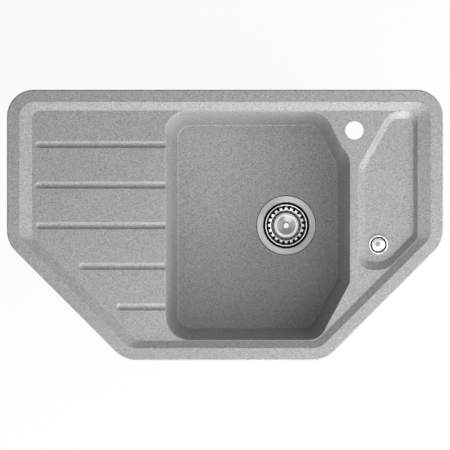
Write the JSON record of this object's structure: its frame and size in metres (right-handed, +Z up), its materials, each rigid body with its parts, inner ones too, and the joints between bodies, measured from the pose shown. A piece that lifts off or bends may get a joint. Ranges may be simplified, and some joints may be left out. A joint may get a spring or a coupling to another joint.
{
  "type": "corner kitchen sink",
  "caption": "Inset corner sink in moulded granite composite: bowl with lift-out basket strainer, grooved drainer, rinsing trough with overflow, tap hole, waste, and worktop clamps.",
  "frame": {"origin": "middle of the sink's outline, on the plane of the worktop's top, which is the underside of the rim", "axes": "+Z up; +X along the long side, from the drainer to the bowl; +Y towards the wall behind the tap hole"},
  "size_m": [0.83, 0.515, 0.301],
  "materials": {
    "granite_composite": "matt, fine-grained moulded quartz composite",
    "brushed_steel": "brushed",
    "polished_steel": "polished",
    "chrome": "polished",
    "brass": "turned",
    "black_rubber": "matt",
    "white_plastic": "moulded",
    "nylon": "moulded",
    "zinc_steel": "zinc plated"
  },
  "bodies": {
    "sink": {"sink_body": "granite_composite", "strainer_flange": "brushed_steel", "waste_bolt": "polished_steel", "bolt_insert": "brass", "flange_gasket": "black_rubber", "body_gasket": "black_rubber", "waste_body": "white_plastic", "overflow_ring": "chrome", "overflow_cap": "chrome", "overflow_screw": "chrome", "overflow_gasket": "black_rubber", "overflow_body": "white_plastic", "overflow_insert": "brass", "overflow_pipe": "white_plastic", "lower_pipe_nut": "white_plastic", "lower_pipe_washer": "black_rubber", "upper_pipe_nut": "white_plastic", "upper_pipe_washer": "black_rubber", "clamp_plugs": "nylon"},
    "basket": {"strainer_basket": "polished_steel", "basket_knob": "polished_steel", "basket_post": "polished_steel", "basket_seal": "black_rubber", "stopper_nut": "polished_steel"},
    "screw_1": {"clamp_screw_1": "zinc_steel"},
    "arm_1": {"clamp_arm_1": "zinc_steel"},
    "screw_2": {"clamp_screw_2": "zinc_steel"},
    "arm_2": {"clamp_arm_2": "zinc_steel"},
    "screw_3": {"clamp_screw_3": "zinc_steel"},
    "arm_3": {"clamp_arm_3": "zinc_steel"},
    "screw_4": {"clamp_screw_4": "zinc_steel"},
    "arm_4": {"clamp_arm_4": "zinc_steel"},
    "screw_5": {"clamp_screw_5": "zinc_steel"},
    "arm_5": {"clamp_arm_5": "zinc_steel"},
    "screw_6": {"clamp_screw_6": "zinc_steel"},
    "arm_6": {"clamp_arm_6": "zinc_steel"},
    "screw_7": {"clamp_screw_7": "zinc_steel"},
    "arm_7": {"clamp_arm_7": "zinc_steel"},
    "screw_8": {"clamp_screw_8": "zinc_steel"},
    "arm_8": {"clamp_arm_8": "zinc_steel"}
  },
  "joints": [
    {"name": "basket_lift", "type": "slide", "parent": "sink", "child": "basket", "axis": [0, 0, 1], "range_m": [0, 0.235]},
    {"name": "clamp_screw_1_thread", "type": "slide", "parent": "sink", "child": "screw_1", "axis": [0, 0, 1], "range_m": [0, 0.008]},
    {"name": "clamp_arm_1_swing", "type": "hinge", "parent": "screw_1", "child": "arm_1", "pos_m": [-0.29956, 0.2235, -0.05525], "axis": [0, 0, 1], "range_deg": [-90, 0]},
    {"name": "clamp_screw_2_thread", "type": "slide", "parent": "sink", "child": "screw_2", "axis": [0, 0, 1], "range_m": [0, 0.008]},
    {"name": "clamp_arm_2_swing", "type": "hinge", "parent": "screw_2", "child": "arm_2", "pos_m": [-0.18345, 0.2235, -0.05525], "axis": [0, 0, 1], "range_deg": [0, 90]},
    {"name": "clamp_screw_3_thread", "type": "slide", "parent": "sink", "child": "screw_3", "axis": [0, 0, 1], "range_m": [0, 0.008]},
    {"name": "clamp_arm_3_swing", "type": "hinge", "parent": "screw_3", "child": "arm_3", "pos_m": [0.24639, 0.2235, -0.05525], "axis": [0, 0, 1], "range_deg": [0, 90]},
    {"name": "clamp_screw_4_thread", "type": "slide", "parent": "sink", "child": "screw_4", "axis": [0, 0, 1], "range_m": [0, 0.008]},
    {"name": "clamp_arm_4_swing", "type": "hinge", "parent": "screw_4", "child": "arm_4", "pos_m": [0.381, 0.062, -0.05525], "axis": [0, 0, 1], "range_deg": [-90, 0]},
    {"name": "clamp_screw_5_thread", "type": "slide", "parent": "sink", "child": "screw_5", "axis": [0, 0, 1], "range_m": [0, 0.008]},
    {"name": "clamp_arm_5_swing", "type": "hinge", "parent": "screw_5", "child": "arm_5", "pos_m": [0.27896, -0.12146, -0.05525], "axis": [0, 0, 1], "range_deg": [-90, 0]},
    {"name": "clamp_screw_6_thread", "type": "slide", "parent": "sink", "child": "screw_6", "axis": [0, 0, 1], "range_m": [0, 0.008]},
    {"name": "clamp_arm_6_swing", "type": "hinge", "parent": "screw_6", "child": "arm_6", "pos_m": [-0.14906, -0.2235, -0.05525], "axis": [0, 0, 1], "range_deg": [0, 90]},
    {"name": "clamp_screw_7_thread", "type": "slide", "parent": "sink", "child": "screw_7", "axis": [0, 0, 1], "range_m": [0, 0.008]},
    {"name": "clamp_arm_7_swing", "type": "hinge", "parent": "screw_7", "child": "arm_7", "pos_m": [-0.27896, -0.12146, -0.05525], "axis": [0, 0, 1], "range_deg": [0, 90]},
    {"name": "clamp_screw_8_thread", "type": "slide", "parent": "sink", "child": "screw_8", "axis": [0, 0, 1], "range_m": [0, 0.008]},
    {"name": "clamp_arm_8_swing", "type": "hinge", "parent": "screw_8", "child": "arm_8", "pos_m": [-0.381, 0.105, -0.05525], "axis": [0, 0, 1], "range_deg": [-90, 0]}
  ]
}
